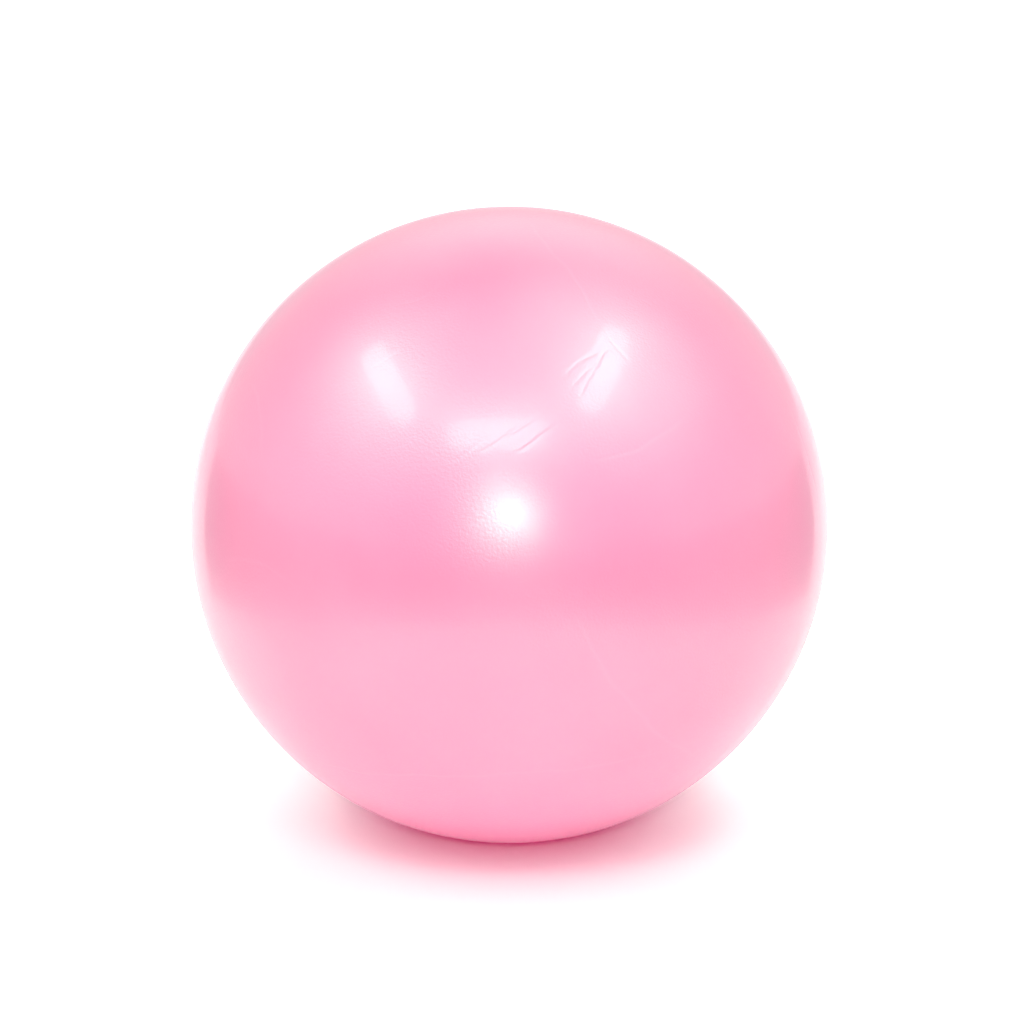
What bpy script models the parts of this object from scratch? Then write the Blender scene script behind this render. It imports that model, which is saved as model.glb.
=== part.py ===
"""Soft exercise ball, 250 mm across: a hollow PVC skin, a moulded valve seat and a push-in plug.

The ball stands on the small patch that its own weight presses flat. The origin is the centre of
that patch, +Z is up, -Y is the front, and the valve faces the back, along +Y. Units are metres.
Profiles are pairs: radius from the turning axis, and height along it from the ball's centre.
"""

import math

import bpy

# Ball
BALL_RADIUS = 0.125
SKIN_THICKNESS = 0.0007
CONTACT_RADIUS = 0.016  # patch that the ball's weight presses flat
SKIN_STEPS = 64  # facets round the ball

# Clearance between solids that are bonded or pressed together on the real ball
JOINT_GAP = 0.0003

# Valve seat, moulded into the skin
COLLAR_RADIUS = 0.0065  # ring that shows flush with the skin
FLANGE_RADIUS = 0.0130  # disc that is bonded under the skin
FLANGE_THICKNESS = 0.0012
FLANGE_RIM_THICKNESS = 0.0005
FLANGE_ARC_POINTS = 5
RECESS_RADIUS = 0.0053  # hollow that the plug's head sinks into
RECESS_DEPTH = 0.0017
BORE_RADIUS = 0.0025
BORE_LEAD_IN = 0.0004
SEAT_LENGTH = 0.0165  # from the ball's surface to the stem's tip
STEM_ROOT_RADIUS = 0.0046
STEM_TIP_RADIUS = 0.0040
PRY_NOTCH_RADIUS = 0.0016  # scoop in the recess wall, for lifting the plug out
PRY_NOTCH_DEPTH = 0.0009
PRY_NOTCH_OFFSET = 0.0045

# Plug
HEAD_RADIUS = 0.0049
HEAD_CROWN_POINTS = 4
PLUG_STEM_RADIUS = 0.0020
RIB_RADIUS = 0.0023
RIB_COUNT = 3
RIB_PITCH = 0.0030
RIB_RAMP = 0.0014  # length of a rib's sloping side, towards the tip
FIRST_RIB_BELOW_HEAD = 0.0025
PLUG_STEM_LENGTH = 0.0140
TIP_TAPER = 0.0024
TIP_RADIUS = 0.0011

# Both valve pieces
VALVE_STEPS = 40  # facets round the valve
EDGE_ROUND = 0.0002
SHARP_ANGLE = math.radians(40)

# Worked out from the dimensions above
CENTRE_HEIGHT = math.sqrt(BALL_RADIUS**2 - CONTACT_RADIUS**2)
FLANGE_SPHERE = BALL_RADIUS - SKIN_THICKNESS - JOINT_GAP
FACE_HEIGHT = math.sqrt(BALL_RADIUS**2 - COLLAR_RADIUS**2)
RECESS_FLOOR = FACE_HEIGHT - RECESS_DEPTH
HEAD_UNDERSIDE = RECESS_FLOOR + JOINT_GAP

# Colours are linear RGB
SKIN_PINK = (0.93, 0.40, 0.58)
SEAT_PINK = (0.90, 0.36, 0.54)
PLUG_WHITE = (0.86, 0.85, 0.84)


def clear_scene():
    for item in list(bpy.data.objects):
        bpy.data.objects.remove(item)


def new_collection(name):
    collection = bpy.data.collections.new(name)
    bpy.context.scene.collection.children.link(collection)
    return collection


def plastic(name, colour, roughness):
    material = bpy.data.materials.new(name)
    material.use_nodes = True
    shader = material.node_tree.nodes["Principled BSDF"]
    shader.inputs["Base Color"].default_value = (*colour, 1.0)
    shader.inputs["Roughness"].default_value = roughness
    shader.inputs["Metallic"].default_value = 0.0
    return material


def empty(name, collection, location, rotation=(0, 0, 0)):
    marker = bpy.data.objects.new(name, None)
    marker.location = location
    marker.rotation_euler = rotation
    collection.objects.link(marker)
    return marker


def turned(name, collection, parent, profile, steps, material, loop=False):
    """A solid of revolution about its parent's Z. The profile runs down its outer side.

    A loop profile closes on itself, round a bore. Any other starts and ends on the axis.
    """
    edge_count = len(profile) if loop else len(profile) - 1
    edges = [(i, (i + 1) % len(profile)) for i in range(edge_count)]
    mesh = bpy.data.meshes.new(name)
    mesh.from_pydata([(radius, 0, height) for radius, height in profile], edges, [])
    mesh.materials.append(material)
    body = bpy.data.objects.new(name, mesh)
    body.parent = parent
    collection.objects.link(body)
    screw = body.modifiers.new("Turn", "SCREW")
    screw.axis = "Z"
    screw.steps = steps
    screw.render_steps = steps
    screw.use_merge_vertices = True
    screw.merge_threshold = 0.00001
    return body


def round_cutter(name, collection, parent, radius, bottom, top, offset=0.0):
    """A guide cylinder along its parent's Z, between two heights, offset along its Y."""
    bpy.ops.mesh.primitive_cylinder_add(vertices=VALVE_STEPS, radius=radius, depth=top - bottom)
    cutter = bpy.context.object
    cutter.name = name
    for owner in list(cutter.users_collection):
        owner.objects.unlink(cutter)
    collection.objects.link(cutter)
    cutter.parent = parent
    cutter.location = (0, offset, (bottom + top) / 2)
    cutter.hide_render = True
    cutter.display_type = "WIRE"
    return cutter


def cut(body, cutter):
    boolean = body.modifiers.new("Cut " + cutter.name, "BOOLEAN")
    boolean.operation = "DIFFERENCE"
    boolean.solver = "EXACT"
    boolean.object = cutter


def finish(body):
    """Apply the modifiers, so that round faces shade smooth and real edges stay crisp."""
    depsgraph = bpy.context.evaluated_depsgraph_get()
    mesh = bpy.data.meshes.new_from_object(body.evaluated_get(depsgraph))
    body.modifiers.clear()
    body.data = mesh
    mesh.shade_smooth()
    mesh.set_sharp_from_angle(angle=SHARP_ANGLE)


def sphere_height(sphere_radius, radius):
    """Height at which a sphere about the ball's centre has this radius."""
    return math.sqrt(sphere_radius**2 - radius**2)


def skin_profile():
    """Outer side of the skin, from its top down to the patch it stands on, and the patch's centre."""
    patch_angle = math.pi - math.asin(CONTACT_RADIUS / BALL_RADIUS)
    ring_pitch = 2 * math.pi / SKIN_STEPS
    ring_count = math.ceil(patch_angle / ring_pitch)
    angles = [i * ring_pitch for i in range(ring_count)] + [patch_angle]
    side = [(BALL_RADIUS * math.sin(angle), BALL_RADIUS * math.cos(angle)) for angle in angles]
    return [*side, (0.0, -CENTRE_HEIGHT)]


def seat_profile():
    """Section of the seat: face, collar, flange and stem down the outside, then up the bore."""
    flange_top = []
    flange_under = []
    for i in range(FLANGE_ARC_POINTS):
        share = i / (FLANGE_ARC_POINTS - 1)
        radius = COLLAR_RADIUS + share * (FLANGE_RADIUS - COLLAR_RADIUS)
        thickness = FLANGE_THICKNESS + share * (FLANGE_RIM_THICKNESS - FLANGE_THICKNESS)
        top = sphere_height(FLANGE_SPHERE, radius)
        flange_top.append((radius, top))
        flange_under.append((radius, top - thickness))
    stem_root = (STEM_ROOT_RADIUS, flange_under[0][1] - 2 * EDGE_ROUND)
    stem_tip = BALL_RADIUS - SEAT_LENGTH
    return [
        (RECESS_RADIUS + EDGE_ROUND, FACE_HEIGHT),
        (COLLAR_RADIUS - EDGE_ROUND, FACE_HEIGHT),
        (COLLAR_RADIUS, FACE_HEIGHT - EDGE_ROUND),
        *flange_top,
        *reversed(flange_under),
        stem_root,
        (STEM_TIP_RADIUS, stem_tip + EDGE_ROUND),
        (STEM_TIP_RADIUS - EDGE_ROUND, stem_tip),
        (BORE_RADIUS, stem_tip),
        (BORE_RADIUS, RECESS_FLOOR - BORE_LEAD_IN),
        (BORE_RADIUS + BORE_LEAD_IN, RECESS_FLOOR),
        (RECESS_RADIUS, RECESS_FLOOR),
        (RECESS_RADIUS, FACE_HEIGHT - EDGE_ROUND),
    ]


def plug_profile():
    """Head, ribbed stem and tapered tip. The head's crown carries on the ball's own curve."""
    crown = []
    for i in range(HEAD_CROWN_POINTS):
        radius = (HEAD_RADIUS - EDGE_ROUND) * i / (HEAD_CROWN_POINTS - 1)
        crown.append((radius, sphere_height(BALL_RADIUS, radius)))
    ribs = []
    for i in range(RIB_COUNT):
        shoulder = HEAD_UNDERSIDE - FIRST_RIB_BELOW_HEAD - i * RIB_PITCH
        ribs.append((PLUG_STEM_RADIUS, shoulder))
        ribs.append((RIB_RADIUS, shoulder - EDGE_ROUND))
        ribs.append((PLUG_STEM_RADIUS, shoulder - RIB_RAMP))
    head_edge = sphere_height(BALL_RADIUS, HEAD_RADIUS) - EDGE_ROUND
    tip = HEAD_UNDERSIDE - PLUG_STEM_LENGTH
    return [
        *crown,
        (HEAD_RADIUS, head_edge),
        (HEAD_RADIUS, HEAD_UNDERSIDE + EDGE_ROUND),
        (HEAD_RADIUS - EDGE_ROUND, HEAD_UNDERSIDE),
        (PLUG_STEM_RADIUS, HEAD_UNDERSIDE),
        *ribs,
        (PLUG_STEM_RADIUS, tip + TIP_TAPER),
        (TIP_RADIUS, tip + EDGE_ROUND),
        (TIP_RADIUS - EDGE_ROUND, tip),
        (0.0, tip),
    ]


def make_skin(parts, cutters, ball_centre, valve_axis):
    """The skin is one moulded shell, open only where the valve seat comes through it."""
    material = plastic("skin_pvc", SKIN_PINK, 0.3)
    skin = turned("ball_skin", parts, ball_centre, skin_profile(), SKIN_STEPS, material)
    wall = skin.modifiers.new("Wall", "SOLIDIFY")
    wall.thickness = SKIN_THICKNESS
    wall.offset = -1.0
    wall.use_even_offset = True
    hole_radius = COLLAR_RADIUS + JOINT_GAP
    hole = round_cutter(
        "valve_hole", cutters, valve_axis, hole_radius, BALL_RADIUS * 0.9, BALL_RADIUS * 1.1
    )
    cut(skin, hole)
    finish(skin)


def make_seat(parts, cutters, valve_axis):
    """The seat's collar fills the skin's hole, and its flange lies against the skin's inside."""
    material = plastic("seat_pvc", SEAT_PINK, 0.45)
    seat = turned("valve_seat", parts, valve_axis, seat_profile(), VALVE_STEPS, material, loop=True)
    notch = round_cutter(
        "pry_notch",
        cutters,
        valve_axis,
        PRY_NOTCH_RADIUS,
        FACE_HEIGHT - PRY_NOTCH_DEPTH,
        FACE_HEIGHT + PRY_NOTCH_DEPTH,
        PRY_NOTCH_OFFSET,
    )
    cut(seat, notch)
    finish(seat)


def make_plug(parts, valve_axis):
    """The plug slides along the valve axis, which its origin lies on."""
    material = plastic("plug_pe", PLUG_WHITE, 0.4)
    plug = turned("valve_plug", parts, valve_axis, plug_profile(), VALVE_STEPS, material)
    finish(plug)


def main():
    clear_scene()
    parts = new_collection("exercise_ball")
    cutters = new_collection("cutters")
    ball_centre = empty("ball_centre", parts, (0, 0, CENTRE_HEIGHT))
    valve_axis = empty("valve_axis", parts, (0, 0, CENTRE_HEIGHT), (-math.pi / 2, 0, 0))
    make_skin(parts, cutters, ball_centre, valve_axis)
    make_seat(parts, cutters, valve_axis)
    make_plug(parts, valve_axis)


main()
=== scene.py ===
"""The looks of a soft exercise ball: glossy pearl-pink skin, its moulded valve seat and push-in plug.

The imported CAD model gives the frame. Lengths are in metres, +Z is up, and -Y is the front.
"""

import math

import bmesh
import bpy
import numpy as np
from mathutils import Matrix, Vector


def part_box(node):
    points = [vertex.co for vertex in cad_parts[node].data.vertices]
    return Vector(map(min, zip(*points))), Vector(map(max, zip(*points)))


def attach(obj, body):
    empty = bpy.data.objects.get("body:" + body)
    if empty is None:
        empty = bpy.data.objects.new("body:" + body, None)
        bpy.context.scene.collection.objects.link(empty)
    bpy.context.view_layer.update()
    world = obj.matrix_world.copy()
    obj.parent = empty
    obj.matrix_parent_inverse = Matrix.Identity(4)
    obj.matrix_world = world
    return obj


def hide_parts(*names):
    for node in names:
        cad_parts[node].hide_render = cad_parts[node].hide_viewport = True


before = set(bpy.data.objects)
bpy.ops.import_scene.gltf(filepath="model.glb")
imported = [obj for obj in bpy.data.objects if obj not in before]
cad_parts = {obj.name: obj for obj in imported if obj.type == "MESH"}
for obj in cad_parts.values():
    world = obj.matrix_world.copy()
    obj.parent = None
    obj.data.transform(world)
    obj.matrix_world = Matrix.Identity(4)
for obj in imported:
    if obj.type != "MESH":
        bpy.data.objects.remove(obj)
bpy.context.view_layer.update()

MM = 0.001

# The ball, from the frame
SKIN_LOW, SKIN_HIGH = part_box("ball_skin")
RADIUS = (SKIN_HIGH.x - SKIN_LOW.x) / 2
CENTRE = Vector((0, 0, SKIN_HIGH.z - RADIUS))

# The valve, from the frame
SEAT_LOW, SEAT_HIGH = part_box("valve_seat")
PLUG_LOW, PLUG_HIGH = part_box("valve_plug")
SEAT_FACE = SEAT_HIGH.y
SEAT_TIP = SEAT_LOW.y
FLANGE_RADIUS = (SEAT_HIGH.x - SEAT_LOW.x) / 2
HEAD_RADIUS = (PLUG_HIGH.x - PLUG_LOW.x) / 2
PLUG_TIP = PLUG_LOW.y

# Valve sizes that the boxes don't give
VALVE_STEPS = 96  # facets round the valve
COLLAR_RADIUS = 6.5 * MM
HOLE_RADIUS = COLLAR_RADIUS + 0.15 * MM
FACE_GROOVE_RADIUS = 5.85 * MM
RECESS_RADIUS = 5.3 * MM
RECESS_DEPTH = 1.7 * MM
SEAL_LIP_RADIUS = 3.5 * MM
BORE_RADIUS = 2.5 * MM
BORE_LEAD_IN = 0.5 * MM
STEM_ROOT_RADIUS = 4.6 * MM
STEM_TIP_RADIUS = 4.0 * MM
FLANGE_THICKNESS = 1.2 * MM
FLANGE_RIM_THICKNESS = 0.5 * MM
FLANGE_GAP = 0.1 * MM  # glue between the flange and the skin
NOTCH_RADIUS = 1.6 * MM  # scoop in the recess wall, for lifting the plug out
NOTCH_DEPTH = 0.9 * MM
NOTCH_OFFSET = 4.5 * MM
HEAD_GAP = 0.3 * MM
HEAD_RING_RADIUS = 3.6 * MM
SPRUE_RADIUS = 0.6 * MM
SPRUE_DEPTH = 0.15 * MM
PLUG_STEM_RADIUS = 2.0 * MM
RIB_RADIUS = 2.3 * MM
RIB_COUNT = 3
RIB_PITCH = 3.0 * MM
RIB_RAMP = 1.4 * MM
FIRST_RIB_BELOW_HEAD = 2.5 * MM
TIP_TAPER = 2.4 * MM
TIP_RADIUS = 1.1 * MM
LINE_WIDTH = 0.16 * MM  # half the width of a fine moulded ring
LINE_HEIGHT = 0.12 * MM
SEAM_HEIGHT = 0.05 * MM  # mould line down both sides of the plug
EDGE_ROUND = 0.22 * MM

# Skin
SKIN_THICKNESS = 0.7 * MM
OUTER_SUBDIVISIONS = 7
LINING_SUBDIVISIONS = 5
HOLE_CUT_LENGTH = 20 * MM
PATCH_EDGE_ROUND = 0.3 * MM
FOLD_WIDTH = 0.75 * MM
FOLD_DEPTH = 0.048 * MM
FOLD_SOFT_WIDTH = 5.0 * MM
FOLD_SOFT_DEPTH = 0.035 * MM
FOLD_WANDERS = ((0.004, 19, 3), (0.002, 47, 0))  # size in radians, rate along the fold, shift by its bow
SWELL_DEPTH = 0.05 * MM
SWELL_COUNT = 9
PARTING_LINE_WIDTH = 0.5 * MM
PARTING_LINE_HEIGHT = 0.04 * MM
FLANGE_SWELL = 0.10 * MM  # how far the flange under the skin lifts it
FLANGE_BLEND = 1.5 * MM
PUCKER_DEPTH = 0.30 * MM  # dip of the skin's lip round the seat
PUCKER_WIDTH = 0.9 * MM
REFINE_WIDTHS = (2.2 * MM, 1.4 * MM, 0.8 * MM)  # to each side of a detail, for each finer mesh

# Skin colours, as linear RGB
PINK = (0.93, 0.257, 0.488, 1.0)
PALE_PINK = (0.93, 0.275, 0.505, 1.0)
CREASE_PINK = (0.94, 0.31, 0.535, 1.0)

# Fold marks left by packing: start and end as (degrees right, degrees up) from the front, then how
# far the middle bows to the left of the way from start to end, in degrees, and the mark's strength
FRONT_FOLDS = [
    ((20, 85), (25, 46), 1, 0.9),
    ((25, 47), (28.5, 41), 0, 1.0),
    ((25.5, 45), (14, 35), 0.5, 1.0),
    ((11.5, 39), (21.5, 44), -0.5, 0.9),
    ((13, 37), (22, 42), -0.5, 0.8),
    ((-6, 26), (7, 33), 0, 1.0),
    ((1, 26), (10, 31.5), 0, 1.0),
    ((-11, 24), (-4, 29), 0, 0.5),
    ((-32.5, 39.5), (-26, 44), 0, 0.7),
    ((-23, 60), (-34, 53), -2, 0.6),
    ((14, 24.5), (39, 31), 2, 1.0),
    ((-69, 32), (-51, 18), -3, 0.6),
    ((9, 1), (50, -38), 3, 0.8),
    ((-58, -38), (42, -30), -12, 0.9),
    ((-60, 1), (-38, 0), -2, 0.5),
]
OTHER_FOLDS = [
    ((75, 55), (80, -35), 5, 0.9),
    ((62, 8), (118, 20), -6, 0.7),
    ((98, 48), (140, -12), 5, 0.8),
    ((118, -30), (168, -48), -5, 0.7),
    ((150, 62), (205, 40), 7, 0.9),
    ((205, 40), (196, 8), -3, 0.7),
    ((200, 38), (248, 28), 4, 0.7),
    ((232, -6), (270, -42), 5, 0.9),
    ((262, 58), (285, 5), -5, 0.8),
    ((218, -28), (248, -20), 2, 0.6),
    ((-20, 82), (-75, 62), 6, 0.7),
    ((158, -10), (172, -38), -3, 0.6),
]

# Light. Panels hang overhead, facing the ball: strips that its gloss shows, each in the middle of a
# wide soft panel, and a soft panel alone behind. An edge is how square the panel's outline is, from 2
# for an oval up, and the share of the way out at which its glow starts to fade.
LAMP_COLOUR = (1.0, 0.985, 0.86)
PANEL_RISE = 1.0  # above the ball's centre
SOFT_PANEL_LIFT = 0.02  # above the strip in its middle
PANEL_PLACES = {"left": (-0.78, -0.29), "right": (0.54, -0.26), "front": (-0.10, -1.0), "back": (0.05, 1.1)}
ALONG = (0, 1, 0)
ACROSS = (1, 0, 0)
LONG_WAYS = {"left": ALONG, "right": ALONG, "front": ACROSS, "back": ACROSS}
STRIP_HALF_SIZES = {"left": (0.10, 0.42), "right": (0.10, 0.42), "front": (0.15, 0.44)}
SOFT_HALF_SIZES = {"left": (0.95, 1.2), "right": (1.15, 1.3), "front": (0.55, 0.9), "back": (0.8, 1.2)}
STRIP_GLOWS = {"left": 4.9, "right": 4.7, "front": 5.1}
SOFT_GLOWS = {"left": 1.5, "right": 1.5, "front": 0.65, "back": 0.7}
STRIP_EDGE = (5.0, 0.85)
SOFT_EDGE = (2.0, 0.1)
BACK_FILL_PLACE = Vector((0, 1.3, CENTRE.z + 0.35))  # low, and seen by dull surfaces only
BACK_FILL_HALF_SIZES = (0.5, 0.9)
BACK_FILL_GLOW = 2.2
FLASH_PLACE = Vector((0, -1.42, CENTRE.z + 0.45))
FLASH_HALF_SIZES = (0.09, 0.09)
FLASH_EDGE = (2.0, 0.0)
FLASH_GLOW = 250.0

# World: fill for dull surfaces, and what gloss reflects, evenly and towards the sides and the back
WORLD_FILL = 0.085
WORLD_EVEN = 0.44
WORLD_SIDE = 0.6
WORLD_BACK = 0.4

# Floor: painted light as glows, which rise away from the ball's foot so that the ball's shadow ends sooner,
# and glows behind it, far from it and out of the set, and a pink glow painted round the foot in place of
# light through the skin
FLOOR_SIZE = 14.0
FOOT_CENTRE = (0, 0.015, 0)
NEAR_GLOW = 0.27
BACK_GLOW = 0.28
FAR_GLOW = 0.34
OUTER_GLOW = 0.3
PAINTED_PINK_GLOW = 0.18
PINK_LIGHT = (1.0, 0.02, 0.28, 1.0)

# Dark card round the front
CARD_DISTANCE = 0.46
CARD_HALF_WIDTH = 0.34
CARD_HALF_SWEEP = 115  # degrees to each side of the front
CARD_HEIGHT = 0.16
CARD_END_GLOW = 0.45
CARD_FOOT_GLOW = 0.35

# Camera
CAMERA_ELEVATION = math.radians(14)
CAMERA_DISTANCE = 1.5
CAMERA_LENS = 134.0
CAMERA_AIM = Vector((0.0011, 0, CENTRE.z + 0.0051))


def unit(points):
    return points / np.linalg.norm(points, axis=1, keepdims=True)


def smooth_step(low, high, value):
    share = np.clip((value - low) / (high - low), 0, 1)
    return share * share * (3 - 2 * share)


def direction(right_degrees, up_degrees):
    """Unit vector from the ball's centre, by degrees right of and above the front."""
    right = math.radians(right_degrees)
    up = math.radians(up_degrees)
    return np.array([math.sin(right) * math.cos(up), -math.cos(right) * math.cos(up), math.sin(up)])


def fold_course(directions, fold):
    """Share of the fold's length at each direction, and distance across it in metres."""
    start, end, bow, _strength = fold
    first = direction(*start)
    last = direction(*end)
    pole = np.cross(first, last)
    pole /= np.linalg.norm(pole)
    along = np.cross(pole, first)
    span = math.acos(first @ last)
    angle = np.arctan2(directions @ along, directions @ first)
    share = angle / span
    bowed = math.radians(bow) * np.sin(np.pi * np.clip(share, 0, 1))
    wander = sum(size * np.sin(waves * angle + shift * bow) for size, waves, shift in FOLD_WANDERS)
    across = RADIUS * (np.arcsin(np.clip(directions @ pole, -1, 1)) + bowed + wander)
    return share, across


def fold_strength(share, strength):
    """A fold fades out at both ends."""
    return strength * smooth_step(0, 0.2, share) * smooth_step(1, 0.75, share)


def fold_marks(directions):
    """Height of the fold marks, and how strongly each point is creased, from 0 to 1."""
    height = np.zeros(len(directions))
    crease = np.zeros(len(directions))
    for fold in FRONT_FOLDS + OTHER_FOLDS:
        share, across = fold_course(directions, fold)
        here = fold_strength(share, fold[3])
        narrow = (across / FOLD_WIDTH) ** 2
        wide = (across / FOLD_SOFT_WIDTH) ** 2
        height -= FOLD_DEPTH * here * (1 - narrow) * np.exp(-narrow / 2)
        height -= FOLD_SOFT_DEPTH * here * np.exp(-wide)
        crease = np.maximum(crease, here * np.exp(-narrow))
    return height, crease


def swell(directions):
    """Gentle unevenness of a blown-up skin: a few broad waves in fixed directions."""
    height = np.zeros(len(directions))
    for i in range(SWELL_COUNT):
        way = direction(40 * i + 11 * (i % 3), 35 * math.sin(2.4 * i))
        height += np.sin(directions @ way * (9 + 2.3 * i) + 1.7 * i) / 3
    return SWELL_DEPTH * height


def valve_distance(points):
    """Distance of each point from the valve's axis, or a large one on the front half."""
    beside = np.hypot(points[:, 0], points[:, 2] - CENTRE.z)
    return np.where(points[:, 1] > 0, beside, 10 * RADIUS)


def shaped(directions):
    """Points of the skin's outer face in these directions."""
    marks, _crease = fold_marks(directions)
    parting = PARTING_LINE_HEIGHT * np.exp(-((directions[:, 1] * RADIUS / PARTING_LINE_WIDTH) ** 2))
    height = marks + swell(directions) + parting
    points = np.array(CENTRE) + directions * RADIUS
    near_valve = valve_distance(points)
    height *= smooth_step(HOLE_RADIUS, 2.5 * FLANGE_RADIUS, near_valve)
    over_flange = smooth_step(FLANGE_RADIUS + FLANGE_BLEND, FLANGE_RADIUS - FLANGE_BLEND, near_valve)
    at_lip = smooth_step(HOLE_RADIUS + PUCKER_WIDTH, HOLE_RADIUS, near_valve)
    height += FLANGE_SWELL * over_flange
    height -= PUCKER_DEPTH * at_lip**2
    points += directions * height[:, None]
    points[:, 2] = (points[:, 2] + np.hypot(points[:, 2], PATCH_EDGE_ROUND)) / 2
    return points


def detail_distance(directions):
    """Distance from each direction to the nearest fold or hole edge, in metres."""
    points = np.array(CENTRE) + directions * RADIUS
    nearest = np.abs(valve_distance(points) - HOLE_RADIUS)
    for fold in FRONT_FOLDS + OTHER_FOLDS:
        share, across = fold_course(directions, fold)
        on_course = (share > 0.02) & (share < 0.98)
        nearest = np.where(on_course, np.minimum(nearest, np.abs(across)), nearest)
    return nearest


def refine(mesh, widths):
    """Split the edges that lie near detail, once for each width."""
    for width in widths:
        middles = np.array([(e.verts[0].co + e.verts[1].co) / 2 for e in mesh.edges])
        chosen = detail_distance(unit(middles)) < width
        edges = [e for e, wanted in zip(mesh.edges, chosen) if wanted]
        bmesh.ops.subdivide_edges(mesh, edges=edges, cuts=1)
        bmesh.ops.triangulate(mesh, faces=[f for f in mesh.faces if len(f.verts) > 3])
        for vertex in mesh.verts:
            vertex.co.normalize()


def sphere_mesh(subdivisions, refine_widths=()):
    mesh = bmesh.new()
    bmesh.ops.create_icosphere(mesh, subdivisions=subdivisions, radius=1.0)
    refine(mesh, refine_widths)
    return mesh


def object_from(name, mesh):
    data = bpy.data.meshes.new(name)
    mesh.to_mesh(data)
    mesh.free()
    piece = bpy.data.objects.new(name, data)
    bpy.context.scene.collection.objects.link(piece)
    return piece


def carve(piece, cutter):
    """Take the cutter's shape out of the piece, and remove the cutter."""
    cut = piece.modifiers.new("Cut", "BOOLEAN")
    cut.operation = "DIFFERENCE"
    cut.solver = "EXACT"
    cut.object = cutter
    depsgraph = bpy.context.evaluated_depsgraph_get()
    data = bpy.data.meshes.new_from_object(piece.evaluated_get(depsgraph))
    piece.modifiers.clear()
    piece.data = data
    bpy.data.objects.remove(cutter)


def shade(piece, sharp_degrees):
    piece.data.shade_smooth()
    piece.data.set_sharp_from_angle(angle=math.radians(sharp_degrees))


def make_skin():
    """Hollow shell: a detailed outer face, a plain lining, and a hole where the seat sits."""
    outer = sphere_mesh(OUTER_SUBDIVISIONS, REFINE_WIDTHS)
    directions = unit(np.array([v.co for v in outer.verts]))
    for vertex, point in zip(outer.verts, shaped(directions)):
        vertex.co = point
    inner = sphere_mesh(LINING_SUBDIVISIONS)
    for vertex in inner.verts:
        vertex.co = CENTRE + vertex.co * (RADIUS - SKIN_THICKNESS)
        vertex.co.z = max(vertex.co.z, SKIN_THICKNESS)
    bmesh.ops.reverse_faces(inner, faces=inner.faces)
    lining = bpy.data.meshes.new("lining")
    inner.to_mesh(lining)
    inner.free()
    outer.from_mesh(lining)
    skin = object_from("skin", outer)
    bpy.ops.mesh.primitive_cylinder_add(
        vertices=VALVE_STEPS,
        radius=HOLE_RADIUS,
        depth=HOLE_CUT_LENGTH,
        location=(0, RADIUS, CENTRE.z),
        rotation=(math.pi / 2, 0, 0),
    )
    carve(skin, bpy.context.object)
    add_crease_attribute(skin)
    shade(skin, 50)
    return skin


def add_crease_attribute(skin):
    count = len(skin.data.vertices)
    points = np.empty(count * 3)
    skin.data.vertices.foreach_get("co", points)
    directions = unit(points.reshape(-1, 3) - np.array(CENTRE))
    _height, crease = fold_marks(directions)
    attribute = skin.data.attributes.new("crease", "FLOAT", "POINT")
    attribute.data.foreach_set("value", crease.astype(np.float32))


def finish_piece(piece, body, node, material):
    piece.data.materials.clear()
    piece.data.materials.append(material)
    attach(piece, body)
    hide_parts(node)


def sphere_height(radius, inset=0.0):
    """Place along +Y of the ball's surface, or of a sphere inside it, at this distance from the axis."""
    return math.sqrt((RADIUS - inset) ** 2 - radius**2)


def rounded(profile, closed):
    """The profile with each corner replaced by a short curve."""
    points = [Vector(point) for point in profile]
    result = []
    for i, corner in enumerate(points):
        if not closed and i in (0, len(points) - 1):
            result.append(corner)
            continue
        before = points[i - 1] - corner
        after = points[(i + 1) % len(points)] - corner
        start = corner + before.normalized() * min(EDGE_ROUND, 0.45 * before.length)
        end = corner + after.normalized() * min(EDGE_ROUND, 0.45 * after.length)
        for share in (0, 0.25, 0.5, 0.75, 1):
            result.append(start.lerp(corner, share).lerp(corner.lerp(end, share), share))
    return result


def turned(name, profile, closed=False, seam=0.0):
    """A solid turned about the valve's axis, from pairs of radius and place along +Y.

    A closed profile runs round a bore. Any other starts and ends on the axis.
    """
    mesh = bmesh.new()
    rings = []
    for radius, y in rounded(profile, closed):
        if radius < 0.001 * MM:
            rings.append([mesh.verts.new((0, y, CENTRE.z))])
            continue
        ring = []
        for step in range(VALVE_STEPS):
            angle = 2 * math.pi * step / VALVE_STEPS
            reach = radius + (seam if step % (VALVE_STEPS // 2) == 0 else 0)
            ring.append(mesh.verts.new((reach * math.cos(angle), y, CENTRE.z + reach * math.sin(angle))))
        rings.append(ring)
    next_rings = rings[1:] + rings[:1] if closed else rings[1:]
    for first, second in zip(rings, next_rings):
        for i in range(VALVE_STEPS):
            j = i + 1
            corners = [
                first[i % len(first)],
                first[j % len(first)],
                second[j % len(second)],
                second[i % len(second)],
            ]
            mesh.faces.new(list(dict.fromkeys(corners)))
    bmesh.ops.recalc_face_normals(mesh, faces=mesh.faces)
    return object_from(name, mesh)


def moulded_ring(radius, surface, height):
    """Three profile points of a fine ring, raised or sunk by height, on a surface at radius."""
    inner = radius - LINE_WIDTH
    outer = radius + LINE_WIDTH
    return [(inner, surface(inner)), (radius, surface(radius) + height), (outer, surface(outer))]


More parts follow.
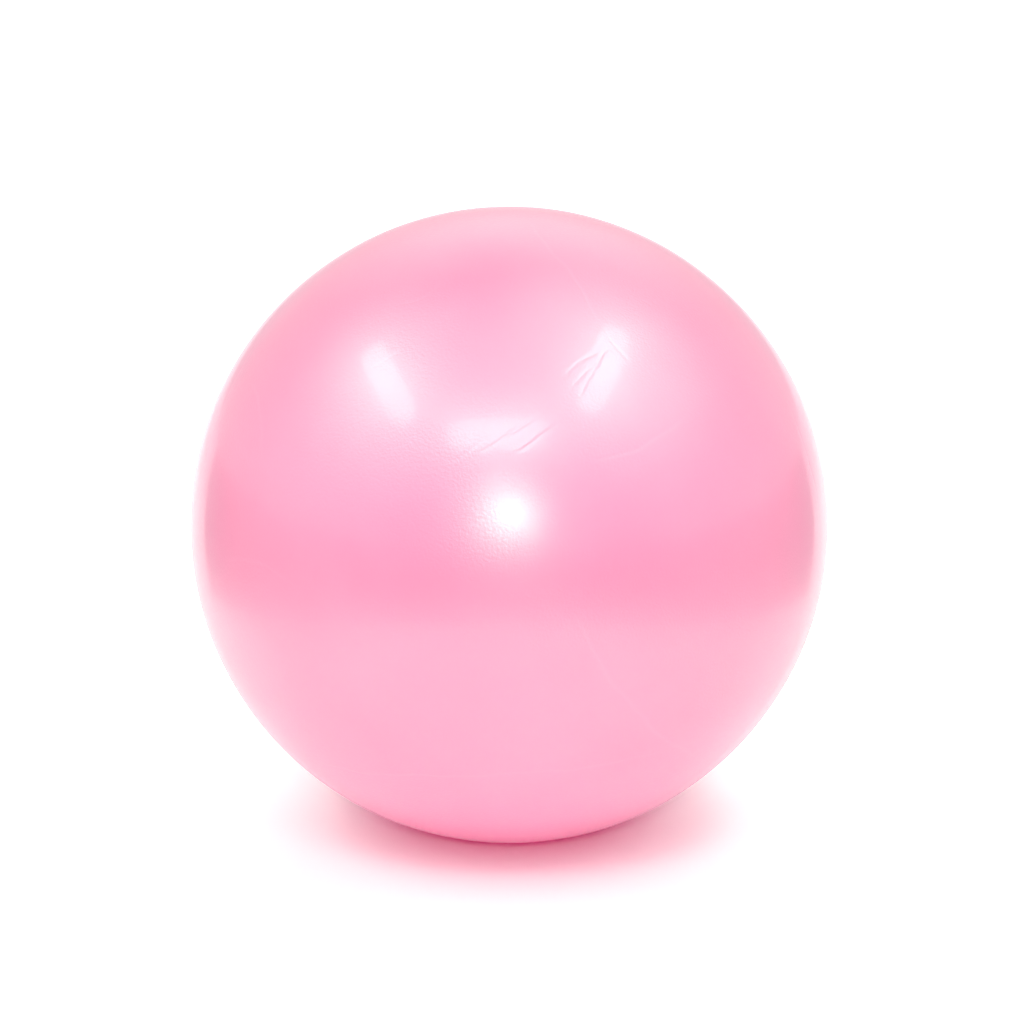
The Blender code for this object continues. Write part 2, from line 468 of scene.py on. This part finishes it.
def make_seat():
    """Collar flush with the skin, flange glued under it, stem inside, and a recess for the plug's head."""
    skin_inside = SKIN_THICKNESS + FLANGE_GAP
    floor = SEAT_FACE - RECESS_DEPTH
    flange_rim = sphere_height(FLANGE_RADIUS, skin_inside)
    stem_root = sphere_height(STEM_ROOT_RADIUS, skin_inside) - FLANGE_THICKNESS
    profile = [
        (RECESS_RADIUS, sphere_height(RECESS_RADIUS)),
        *moulded_ring(FACE_GROOVE_RADIUS, sphere_height, -LINE_HEIGHT),
        (COLLAR_RADIUS, SEAT_FACE),
        (COLLAR_RADIUS, sphere_height(COLLAR_RADIUS, skin_inside)),
        (FLANGE_RADIUS, flange_rim),
        (FLANGE_RADIUS, flange_rim - FLANGE_RIM_THICKNESS),
        (STEM_ROOT_RADIUS, stem_root),
        (STEM_TIP_RADIUS, SEAT_TIP),
        (BORE_RADIUS, SEAT_TIP),
        (BORE_RADIUS, floor - BORE_LEAD_IN),
        (BORE_RADIUS + BORE_LEAD_IN, floor),
        *moulded_ring(SEAL_LIP_RADIUS, lambda radius: floor, LINE_HEIGHT),
        (RECESS_RADIUS, floor),
    ]
    seat = turned("seat", profile, closed=True)
    bpy.ops.mesh.primitive_uv_sphere_add(
        segments=48,
        ring_count=24,
        radius=NOTCH_RADIUS,
        location=(0, SEAT_FACE - NOTCH_DEPTH + NOTCH_RADIUS, CENTRE.z - NOTCH_OFFSET),
    )
    carve(seat, bpy.context.object)
    shade(seat, 40)
    return seat


def make_plug():
    """Head that carries on the ball's curve, and a ribbed stem with a tapered tip."""
    underside = SEAT_FACE - RECESS_DEPTH + HEAD_GAP
    sprue_floor = RADIUS - SPRUE_DEPTH
    ribs = []
    for i in range(RIB_COUNT):
        shoulder = underside - FIRST_RIB_BELOW_HEAD - i * RIB_PITCH
        ribs.append((PLUG_STEM_RADIUS, shoulder))
        ribs.append((RIB_RADIUS, shoulder - EDGE_ROUND))
        ribs.append((PLUG_STEM_RADIUS, shoulder - RIB_RAMP))
    profile = [
        (0, sprue_floor),
        (SPRUE_RADIUS - LINE_WIDTH, sprue_floor),
        (SPRUE_RADIUS, sphere_height(SPRUE_RADIUS)),
        *moulded_ring(HEAD_RING_RADIUS, sphere_height, -LINE_HEIGHT),
        (HEAD_RADIUS, sphere_height(HEAD_RADIUS)),
        (HEAD_RADIUS, underside),
        (PLUG_STEM_RADIUS, underside),
        *ribs,
        (PLUG_STEM_RADIUS, PLUG_TIP + TIP_TAPER),
        (TIP_RADIUS, PLUG_TIP),
        (0, PLUG_TIP),
    ]
    plug = turned("plug", profile, seam=SEAM_HEIGHT)
    shade(plug, 40)
    return plug


class Shader:
    """Short calls for building one material's node tree."""

    def __init__(self, name):
        self.material = bpy.data.materials.new(name)
        self.material.use_nodes = True
        self.tree = self.material.node_tree
        self.surface = self.tree.nodes["Principled BSDF"]

    def node(self, kind, settings=(), **inputs):
        made = self.tree.nodes.new(kind)
        for name, value in dict(settings).items():
            setattr(made, name, value)
        for name, value in inputs.items():
            self.put(made, name.replace("_", " "), value)
        return made

    def put(self, node, name, value):
        if isinstance(value, bpy.types.NodeSocket):
            self.tree.links.new(value, node.inputs[name])
        else:
            node.inputs[name].default_value = value

    def set(self, **inputs):
        for name, value in inputs.items():
            self.put(self.surface, name.replace("_", " "), value)

    def place(self):
        return self.node("ShaderNodeTexCoord").outputs["Object"]

    def noise(self, size, detail=2.0, roughness=0.5):
        """Noise whose features are about this size."""
        made = self.node("ShaderNodeTexNoise", Vector=self.place(), Scale=1 / size)
        made.inputs["Detail"].default_value = detail
        made.inputs["Roughness"].default_value = roughness
        return made.outputs["Fac"]

    def range(self, value, low, high, from_low=0.0, from_high=1.0):
        made = self.node("ShaderNodeMapRange", Value=value)
        made.inputs["From Min"].default_value = from_low
        made.inputs["From Max"].default_value = from_high
        made.inputs["To Min"].default_value = low
        made.inputs["To Max"].default_value = high
        return made.outputs["Result"]

    def rise(self, value, start, end, low, high):
        """Goes smoothly from low to high while value goes from start to end."""
        made = self.node("ShaderNodeMapRange", {"interpolation_type": "SMOOTHSTEP"}, Value=value)
        for name, number in (("From Min", start), ("From Max", end), ("To Min", low), ("To Max", high)):
            made.inputs[name].default_value = number
        return made.outputs["Result"]

    def maths(self, operation, *values):
        made = self.node("ShaderNodeMath", {"operation": operation})
        for i, value in enumerate(values):
            self.put(made, i, value)
        return made.outputs["Value"]

    def add(self, first, second):
        return self.maths("ADD", first, second)

    def mix(self, share, first, second, blend="MIX"):
        made = self.tree.nodes.new("ShaderNodeMix")
        made.data_type = "RGBA"
        made.blend_type = blend
        for socket, value in ((made.inputs[0], share), (made.inputs[6], first), (made.inputs[7], second)):
            if isinstance(value, bpy.types.NodeSocket):
                self.tree.links.new(value, socket)
            else:
                socket.default_value = value
        return made.outputs[2]

    def bump(self, height, depth, normal=None):
        made = self.node("ShaderNodeBump", Height=height, Distance=depth)
        made.inputs["Strength"].default_value = 1.0
        if normal is not None:
            self.put(made, "Normal", normal)
        return made.outputs["Normal"]


def skin_material():
    """Pearl PVC: pink body with fine mica flakes under a clear glossy face."""
    shader = Shader("skin_pvc")
    clouds = shader.range(shader.noise(45 * MM, 3.0), 0.0, 1.0, 0.35, 0.65)
    colour = shader.mix(clouds, PINK, PALE_PINK)
    crease = shader.node("ShaderNodeAttribute", {"attribute_name": "crease"}).outputs["Fac"]
    colour = shader.mix(shader.range(crease, 0.0, 0.35), colour, CREASE_PINK)
    grain = shader.noise(1.0 * MM, 2.0)
    shader.set(
        Base_Color=colour,
        Roughness=shader.range(grain, 0.29, 0.37, 0.3, 0.7),
        Metallic=0.0,
        IOR=1.75,
        Specular_Tint=(1.0, 0.97, 0.83, 1.0),
        Coat_Weight=0.5,
        Coat_Roughness=0.05,
        Coat_IOR=1.5,
        Normal=shader.bump(grain, 0.10 * MM),
        Coat_Normal=shader.bump(grain, 0.003 * MM),
    )
    shader.surface.inputs["Specular IOR Level"].default_value = 0.9
    return shader.material


def seat_material():
    shader = Shader("seat_pvc")
    grain = shader.noise(0.5 * MM, 2.0)
    colour = shader.mix(grain, (0.88, 0.27, 0.43, 1.0), (0.93, 0.33, 0.50, 1.0))
    shader.set(
        Base_Color=colour,
        Roughness=shader.range(grain, 0.40, 0.52),
        Normal=shader.bump(grain, 0.02 * MM),
    )
    return shader.material


def plug_material():
    shader = Shader("plug_pe")
    grain = shader.noise(0.4 * MM, 3.0)
    colour = shader.mix(grain, (0.80, 0.79, 0.78, 1.0), (0.88, 0.87, 0.86, 1.0))
    shader.set(
        Base_Color=colour,
        Roughness=shader.range(grain, 0.34, 0.46),
        Subsurface_Weight=0.3,
        Subsurface_Radius=(1.0, 1.0, 1.0),
        Subsurface_Scale=1.0 * MM,
        Normal=shader.bump(grain, 0.01 * MM),
    )
    return shader.material


def panel_material(name, half_sizes, edge, glow):
    """A clear glow with soft edges: full up to the edge's share of the way out, and none at its outline."""
    squareness, soft_from = edge
    shader = Shader(name)
    parts = shader.node("ShaderNodeSeparateXYZ", Vector=shader.place())
    reach = 0.0
    for axis, half_size in zip("XY", half_sizes):
        share = shader.maths("MULTIPLY", shader.maths("ABSOLUTE", parts.outputs[axis]), 1 / half_size)
        reach = shader.add(shader.maths("POWER", share, squareness), reach)
    strength = shader.rise(shader.maths("POWER", reach, 1 / squareness), soft_from, 1.0, glow, 0.0)
    light = shader.node("ShaderNodeEmission", Color=(*LAMP_COLOUR, 1.0), Strength=strength)
    clear = shader.node("ShaderNodeBsdfTransparent")
    both = shader.node("ShaderNodeAddShader")
    shader.put(both, 0, light.outputs["Emission"])
    shader.put(both, 1, clear.outputs["BSDF"])
    shader.put(shader.tree.nodes["Material Output"], "Surface", both.outputs["Shader"])
    shader.tree.nodes.remove(shader.surface)
    return shader.material


def panel(name, place, half_sizes, long_way, edge, glow):
    """A flat light that faces the ball, with its length along long_way. The camera can't see it."""
    half_width, half_length = half_sizes
    mesh = bmesh.new()
    corners = [(-1, -1), (1, -1), (1, 1), (-1, 1)]
    mesh.faces.new([mesh.verts.new((x * half_width, y * half_length, 0)) for x, y in corners])
    light = object_from(name, mesh)
    back = (Vector(place) - CENTRE).normalized()
    across = Vector(long_way).cross(back).normalized()
    turn = Matrix((across, back.cross(across), back)).transposed()
    light.matrix_world = Matrix.Translation(place) @ turn.to_4x4()
    light.visible_camera = False
    light.visible_shadow = False
    light.data.materials.append(panel_material(name, half_sizes, edge, glow))
    return light


def floor_material():
    """White, with painted light: a glow like a light table's, none at the ball's foot and rising away from
    it and behind it, and a pink glow painted into the ball's shadow in place of light through the skin.
    """
    shader = Shader("floor")

    def distance(centre):
        made = shader.node("ShaderNodeVectorMath", {"operation": "DISTANCE"})
        shader.put(made, 0, shader.place())
        shader.put(made, 1, centre)
        return made.outputs["Value"]

    # painted light: the floor glows from 3 cm out from the ball's foot, so the ball's shadow ends sooner
    near = shader.rise(distance(FOOT_CENTRE), 0.03, 0.10, 0.0, NEAR_GLOW)
    from_origin = distance((0, 0, 0))
    far = shader.rise(from_origin, 0.15, 0.8, 0.0, FAR_GLOW)
    outer = shader.rise(from_origin, 1.0, 2.6, 0.0, OUTER_GLOW)
    # painted light: a pink glow on the floor round and under the ball, in place of light through the skin
    pink = shader.rise(from_origin, 0.02, 0.12, PAINTED_PINK_GLOW, 0.0)
    beyond = shader.rise(from_origin, 0.07, 0.14, 0.0, 1.0)
    parts = shader.node("ShaderNodeSeparateXYZ", Vector=shader.place())
    # painted light: the floor behind the ball glows brighter
    behind = shader.rise(parts.outputs["Y"], -0.10, 0.03, 0.0, BACK_GLOW)
    back = shader.maths("MULTIPLY", behind, beyond)
    white = shader.add(shader.add(near, shader.add(far, outer)), back)
    strength = shader.add(white, pink)
    share = shader.maths("DIVIDE", pink, shader.add(strength, 0.0001))
    tint = shader.mix(share, (1, 1, 1, 1), PINK_LIGHT)
    shader.set(Base_Color=(0.87, 0.88, 0.90, 1), Roughness=0.8, Emission_Color=tint)
    shader.put(shader.surface, "Emission Strength", strength)
    return shader.material


def card_material():
    """Dark at the front, with a painted glow towards the card's ends, like the sides of a room, and a
    painted glow at its foot.
    """
    shader = Shader("dark_card")
    parts = shader.node("ShaderNodeSeparateXYZ", Vector=shader.place())
    ends = shader.rise(parts.outputs["Y"], -CARD_DISTANCE, -0.05, 0.0, CARD_END_GLOW)
    # painted light: the card's foot glows where it meets the floor
    foot = shader.rise(parts.outputs["Z"], 0.0, 0.5 * CARD_HEIGHT, CARD_FOOT_GLOW, 0.0)
    glow = shader.add(ends, foot)
    shader.set(Base_Color=(0.03, 0.03, 0.03, 1), Roughness=1.0, Emission_Color=(1, 1, 1, 1))
    shader.put(shader.surface, "Emission Strength", glow)
    return shader.material


def make_card():
    """A low upright wall, bent round the front of the ball in half an oval."""
    wall = bmesh.new()
    last_pair = None
    for degrees in range(-CARD_HALF_SWEEP, CARD_HALF_SWEEP + 1, 5):
        angle = math.radians(degrees)
        x = CARD_HALF_WIDTH * math.sin(angle)
        y = -CARD_DISTANCE * math.cos(angle)
        pair = (wall.verts.new((x, y, 0)), wall.verts.new((x, y, CARD_HEIGHT)))
        if last_pair:
            wall.faces.new((last_pair[0], pair[0], pair[1], last_pair[1]))
        last_pair = pair
    return object_from("dark_card", wall)


def make_stage():
    """A white floor, and a dark card that stands for the dark room beyond the front of the set.

    Only the ball's reflections show the card.
    """
    bpy.ops.mesh.primitive_plane_add(size=FLOOR_SIZE, location=(0, 0, 0))
    floor = bpy.context.object
    floor.name = "floor"
    floor.data.materials.append(floor_material())
    card = make_card()
    card.visible_camera = False
    card.visible_diffuse = False
    card.visible_shadow = False
    card.data.materials.append(card_material())


def make_world():
    """Soft room light. The camera sees white, and dull surfaces get an even fill.

    Glossy surfaces reflect an even part, and more from the sides and the back.
    """
    world = bpy.data.worlds.new("studio")
    bpy.context.scene.world = world
    world.use_nodes = True
    tree = world.node_tree

    def calculate(operation, first, second):
        made = tree.nodes.new("ShaderNodeMath")
        made.operation = operation
        for socket, value in zip(made.inputs, (first, second)):
            if isinstance(value, bpy.types.NodeSocket):
                tree.links.new(value, socket)
            else:
                socket.default_value = value
        return made.outputs["Value"]

    place = tree.nodes.new("ShaderNodeTexCoord")
    parts = tree.nodes.new("ShaderNodeSeparateXYZ")
    tree.links.new(place.outputs["Generated"], parts.inputs["Vector"])
    total = WORLD_EVEN
    for axis, sign, strength in (("X", -1, WORLD_SIDE), ("X", 1, WORLD_SIDE), ("Y", 1, WORLD_BACK)):
        facing = calculate("MAXIMUM", calculate("MULTIPLY", parts.outputs[axis], sign), 0.0)
        lobe = calculate("MULTIPLY", calculate("POWER", facing, 2.0), strength)
        total = calculate("ADD", lobe, total)
    background = tree.nodes["Background"]
    background.inputs["Color"].default_value = (1, 1, 1, 1)
    ray = tree.nodes.new("ShaderNodeLightPath").outputs
    shown = calculate("MULTIPLY", total, ray["Is Glossy Ray"])
    shown = calculate("MAXIMUM", shown, calculate("MULTIPLY", ray["Is Diffuse Ray"], WORLD_FILL))
    shown = calculate("MAXIMUM", shown, ray["Is Camera Ray"])
    tree.links.new(shown, background.inputs["Strength"])


def make_lights():
    """Strips overhead in wide soft glows, two along the sides and one across, and a flash in front."""
    height = CENTRE.z + PANEL_RISE
    for side, (x, y) in PANEL_PLACES.items():
        lift = 0.0
        if side in STRIP_GLOWS:
            lift = SOFT_PANEL_LIFT
            panel(
                side + "_strip",
                (x, y, height),
                STRIP_HALF_SIZES[side],
                LONG_WAYS[side],
                STRIP_EDGE,
                STRIP_GLOWS[side],
            )
        panel(
            side + "_soft",
            (x, y, height + lift),
            SOFT_HALF_SIZES[side],
            LONG_WAYS[side],
            SOFT_EDGE,
            SOFT_GLOWS[side],
        )
    fill = panel("back_fill", BACK_FILL_PLACE, BACK_FILL_HALF_SIZES, ACROSS, SOFT_EDGE, BACK_FILL_GLOW)
    fill.visible_glossy = False
    panel("camera_flash", FLASH_PLACE, FLASH_HALF_SIZES, ACROSS, FLASH_EDGE, FLASH_GLOW)


def make_camera():
    data = bpy.data.cameras.new("camera")
    data.lens = CAMERA_LENS
    data.sensor_width = 36
    camera = bpy.data.objects.new("camera", data)
    back = Vector((0, -math.cos(CAMERA_ELEVATION), math.sin(CAMERA_ELEVATION)))
    camera.location = CAMERA_AIM + back * CAMERA_DISTANCE
    camera.rotation_euler = (-back).to_track_quat("-Z", "Y").to_euler()
    bpy.context.scene.collection.objects.link(camera)
    bpy.context.scene.camera = camera
    bpy.context.scene.view_settings.view_transform = "Standard"


def main():
    finish_piece(make_skin(), "ball", "ball_skin", skin_material())
    finish_piece(make_seat(), "ball", "valve_seat", seat_material())
    finish_piece(make_plug(), "plug", "valve_plug", plug_material())
    make_stage()
    make_world()
    make_lights()
    make_camera()


main()
